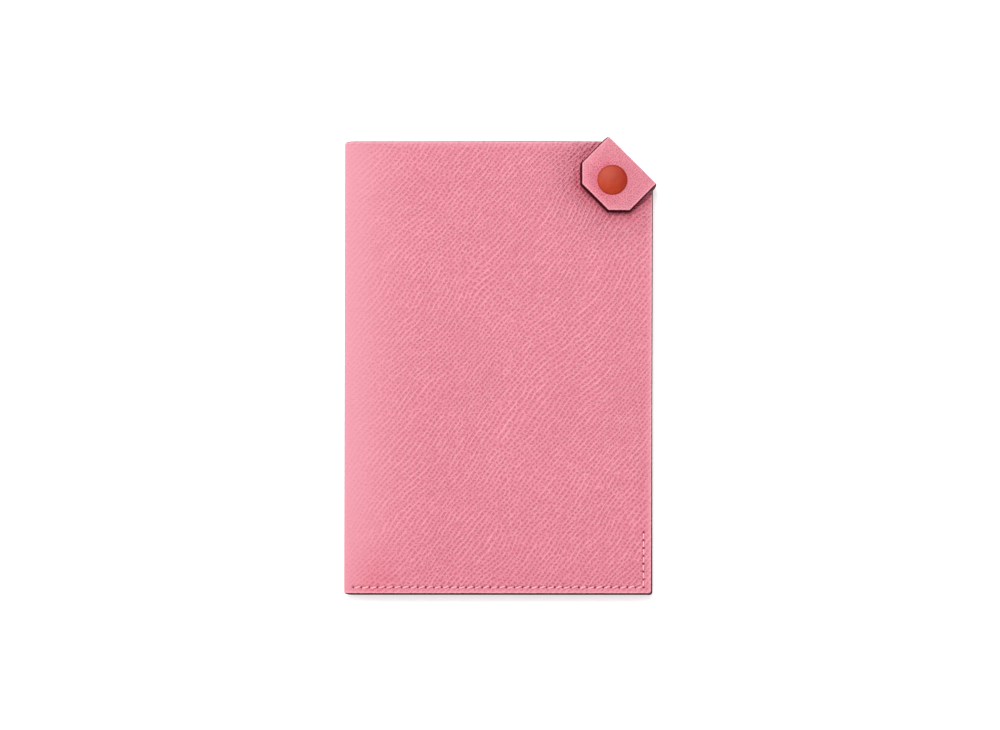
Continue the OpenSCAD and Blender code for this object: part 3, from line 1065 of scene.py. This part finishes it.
def stitch(p0, p1, place, base, sign, proud):
    """Rings of one stitch: it rises out of a hole, lies on the face and dives again."""
    run = (p1 - p0) / np.linalg.norm(p1 - p0)
    across = np.array([-run[1], run[0]])
    w = np.linspace(0, 1, STITCH_RINGS)
    from_middle = np.abs(2 * w - 1)
    height = proud - 1.1 * THREAD_R - DIVE * from_middle ** 3.2
    shift, swing, girth = stitch_rng.uniform(-1, 1, 3)
    lean = SLANT * w * (1 + 0.25 * swing) - 0.28 * MM
    stray = lean * (0.15 + 0.85 * abs(run[0])) + WANDER * shift * (1 - from_middle ** 2)
    length = np.linalg.norm(p1 - p0) - 2 * END_INSET
    flat = p0 + np.outer(END_INSET + w * length, run) + np.outer(stray, across)
    line = place(flat, base - sign * height)
    tangent = np.gradient(line, axis=0)
    tangent /= np.linalg.norm(tangent, axis=1)[:, None]
    up = place(flat, base - sign * (height + 0.1 * MM)) - line
    up -= (up * tangent).sum(1)[:, None] * tangent
    up /= np.linalg.norm(up, axis=1)[:, None]
    beside = np.cross(tangent, up)
    theta = np.linspace(0, 2 * math.pi, STITCH_SIDES, endpoint=False)
    points, attrs = [], []
    for k in range(STITCH_RINGS):
        lobes = 1 + LOBE * np.cos(2 * (theta - w[k] * TWIST))
        taper = 0.62 if k in (0, STITCH_RINGS - 1) else 1.0
        radius = THREAD_R * (1 + 0.1 * girth) * lobes * taper
        sideways = np.outer(radius * np.cos(theta), beside[k])
        points.append(line[k] + sideways + np.outer(radius * np.sin(theta), up[k]))
        # Painted shade on the stitch's ends, where they dive into the holes
        deep = smooth((from_middle[k] - 0.72) / 0.25)
        attrs += [((flat[k] @ run) / MM, angle, 0, deep) for angle in theta]
    return np.concatenate(points), np.array(attrs)


def seam(name, place, body, node, proud):
    """All the stitches of one cover, on its outer face and inside the pocket."""
    points, faces, extra = [], [], []
    count = 0
    for base, sign in ((0.0, 1), (PLY_T + POCKET_T, -1)):
        for p0, p1 in zip(SEAM[:-1], SEAM[1:]):
            ring_points, attrs = stitch(p0, p1, place, base, sign, proud)
            points.append(ring_points)
            extra.append(attrs)
            for k in range(STITCH_RINGS - 1):
                for j in range(STITCH_SIDES):
                    a, b = count + k * STITCH_SIDES, count + (k + 1) * STITCH_SIDES
                    i = (j + 1) % STITCH_SIDES
                    faces.append([a + j, a + i, b + i, b + j])
            faces.append([count + j for j in reversed(range(STITCH_SIDES))])
            last = count + (STITCH_RINGS - 1) * STITCH_SIDES
            faces.append([last + j for j in range(STITCH_SIDES)])
            count += STITCH_RINGS * STITCH_SIDES
    extra = np.concatenate(extra)
    obj = new_object(name, np.concatenate(points), faces, THREAD, (),
                     {"flat": extra[:, :3], "hole": extra[:, 3]})
    settle(obj, body, node)


seam("front_stitches", place_front, "front_cover", "front_seam_thread", 0.13 * MM)
seam("back_stitches", place_back, "back_cover", "back_seam_thread", 0.0)


# ---------- the snap

LATHE_STEPS = 96


def turned(name, profile, z, material, edge_r=None):
    """A turned piece: the profile (r, height), in millimetres, spun about the snap's axis."""
    points, rows, attrs = [], [], []
    length = 0.0
    for k, (r, h) in enumerate(profile):
        length += math.dist(profile[k - 1], (r, h)) if k else 0
        rim = smooth((r - edge_r) / 0.4) if edge_r else 0
        count = LATHE_STEPS if r else 1
        rows.append(range(len(points), len(points) + count))
        for j in range(count):
            w = 2 * math.pi * j / LATHE_STEPS
            x, y = r * math.cos(w), r * math.sin(w)
            points.append((SNAP.x + x * MM, SNAP.y + y * MM, z + h * MM))
            attrs.append((x, y, length, rim))
    faces, sharp = [], []
    pairs = chain(rows) + ([(rows[-1], rows[0])] if len(rows[0]) > 1 else [])
    for one, two in pairs:
        if len(one) == len(two) == 1:
            continue
        for j in range(LATHE_STEPS):
            i = (j + 1) % LATHE_STEPS
            a = [one[j], one[i]] if len(one) > 1 else [one[0]]
            b = [two[i], two[j]] if len(two) > 1 else [two[0]]
            faces.append(a + b)
    for k, row in enumerate(rows):
        before, here, after = [np.array(profile[i % len(profile)]) for i in (k - 1, k, k + 1)]
        one, two = here - before, after - here
        turn = one @ two / (np.linalg.norm(one) * np.linalg.norm(two))
        if turn < 0.8 and len(row) > 1:
            sharp += [(row[j], row[(j + 1) % LATHE_STEPS]) for j in range(LATHE_STEPS)]
    attrs = np.array(attrs)
    return new_object(name, points, faces, material, sharp, {"flat": attrs[:, :3], "hole": attrs[:, 3]})


def snap_size(node):
    """A snap piece's lowest z, and its radius and height in millimetres."""
    low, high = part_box(node)
    return low.z, (high.x - low.x) / 2 / MM, (high.z - low.z) / MM


def cap():
    """The lacquered cap: a crowned disc with a rounded rim, on its rivet stem."""
    height, radius = (CAP_TOP - TAB_TOP) / MM, CAP_R / MM
    edge, crown, under, stem_r = 0.42, 0.42, -0.02, 0.9
    stem_low = (cap_low.z - TAB_TOP) / MM
    head_r, head_top = 1.5, stem_low + 0.25
    profile = [(0, stem_low), (head_r, stem_low), (head_r, head_top), (stem_r, head_top)]
    profile += [(stem_r, under), (radius - 0.25, under)]
    profile += arc_points(radius - edge, height - crown - edge, edge, -35, 76, 12)
    flat_r = radius - 0.85 * edge
    rings = (0.93, 0.82, 0.7, 0.5, 0.3, 0.12, 0)
    profile += [(flat_r * w, height - crown * w * w) for w in rings]
    obj = turned("snap_cap_disc", profile, TAB_TOP, LACQUER, radius - 0.7)
    settle(obj, "tab_flap", "snap_cap")


def socket():
    """The socket: a flange against the flap and a cup with a rolled lip."""
    low, flange, top = snap_size("snap_socket")
    under = top - 0.25
    profile = [(1.0, top), (flange, top), (flange, under + 0.1), (flange - 0.1, under)]
    profile += [(2.75, under), (2.6, under - 0.12)]
    profile += arc_points(2.35, 0.25, 0.25, 0, -90, 6)
    profile += arc_points(1.8, 0.1, 0.1, 270, 90, 6)
    profile += [(2.0, 0.22), (2.0, under), (1.0, under)]
    settle(turned("snap_socket_cup", profile, low, STEEL), "tab_flap", "snap_socket")


def stud():
    """The stud: a dished flange and a bulb with a waist."""
    low, flange, top = snap_size("snap_stud")
    bore, bore_top = 0.95, 1.25
    profile = [(bore, 0.0), (flange, 0.0)]
    profile += arc_points(flange - 0.14, 0.14, 0.14, 0, 90, 5)
    profile += [(2.6, 0.24), (1.75, 0.3)]
    profile += arc_points(1.65, 0.65, 0.35, 270, 180, 6)
    profile += [(1.3, 0.85)]
    profile += arc_points(1.15, top - 0.44, 0.4, -20, 88, 10)
    profile += [(0.6, top), (0.35, top - 0.06), (0, top - 0.08), (0, bore_top), (bore, bore_top)]
    settle(turned("snap_stud_bulb", profile, low, STEEL), "front_cover", "snap_stud")


def post():
    """The post: its flange shows inside the front cover."""
    low, flange, top = snap_size("snap_post")
    thick, shank = 0.4, 0.9
    profile = [(0, 0.06), (0.8, 0.02), (1.4, 0.0)]
    profile += arc_points(flange - 0.18, 0.18, 0.18, -90, 0, 5)
    profile += [(flange, thick), (shank, thick), (shank, top - 0.1), (shank - 0.1, top), (0, top)]
    settle(turned("snap_post_rivet", profile, low, STEEL), "front_cover", "snap_post")


cap()
socket()
stud()
post()


def paint_cad(node, material):
    """Gives a CAD node that stays its material, with the "flat" place that it reads."""
    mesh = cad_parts[node].data
    mesh.materials.clear()
    mesh.materials.append(material)
    places = np.array([v.co for v in mesh.vertices]) / MM
    field = mesh.attributes.new("flat", "FLOAT_VECTOR", "POINT")
    field.data.foreach_set("vector", places.astype(np.float32).ravel())


paint_cad("snap_spring", STEEL)
paint_cad("cap_reinforcement", BOARD)
paint_cad("stud_reinforcement", BOARD)


# ---------- stage and camera

def floor():
    """A pale sheet of paper, a little bright of itself."""
    mesh = bpy.data.meshes.new("floor")
    size = 3.0
    corners = [(-size, -size, 0), (size, -size, 0), (size, size, 0), (-size, size, 0)]
    mesh.from_pydata(corners, [], [(0, 1, 2, 3)])
    n = Nodes("floor_paper")
    fibre = n.noise(n.add("TexCoord")["Object"], 60.0, 3.0)
    mesh.materials.append(n.surface({
        "Base Color": n.mix(fibre, (0.90, 0.90, 0.90, 1), (0.93, 0.93, 0.93, 1)),
        "Roughness": 0.9,
        "Specular IOR Level": 0.1,
        "Emission Color": (1, 1, 1, 1),
        "Emission Strength": 0.45,
    }))
    obj = link_object("floor", mesh)
    obj.location.z = -0.02 * MM


def area_light(name, place, target, size, power, colour=(1, 1, 1)):
    light = bpy.data.lights.new(name, "AREA")
    light.shape = "SQUARE"
    light.size = size
    light.energy = power
    light.color = colour
    obj = link_object(name, light)
    obj.location = place
    obj.rotation_euler = (Vector(target) - Vector(place)).to_track_quat("-Z", "Y").to_euler()


def studio():
    world = bpy.data.worlds.new("studio")
    world.use_nodes = True
    background = world.node_tree.nodes["Background"]
    background.inputs["Color"].default_value = (1, 1, 1, 1)
    background.inputs["Strength"].default_value = 0.6
    bpy.context.scene.world = world
    area_light("key", (-0.32, 0.93, 2.87), (0, 0, 0), 1.1, 61.0, (1.0, 0.99, 0.98))
    area_light("side", (-1.8, 0.2, 1.5), (0, 0, 0), 0.8, 8.0)


def camera():
    """Looks almost straight down, a little from the bottom right, with a long lens."""
    data = bpy.data.cameras.new("camera")
    distance = 2.4
    frame_width = 0.3082
    data.sensor_width = 36
    data.lens = data.sensor_width * distance / frame_width
    data.clip_start = 0.05
    data.clip_end = 20
    obj = link_object("camera", data)
    target = Vector((0.5 * MM, 0.66 * MM, BODY_T))
    lean = Vector((0.034, -0.152, distance))
    backward = lean.normalized()
    across = (Vector((1, 0, 0)) - backward * backward.x).normalized()
    turn = Matrix((across, backward.cross(across), backward)).transposed()
    obj.matrix_world = Matrix.Translation(target + lean) @ turn.to_4x4()
    bpy.context.scene.camera = obj


floor()
studio()
camera()
bpy.context.scene.view_settings.view_transform = "Standard"
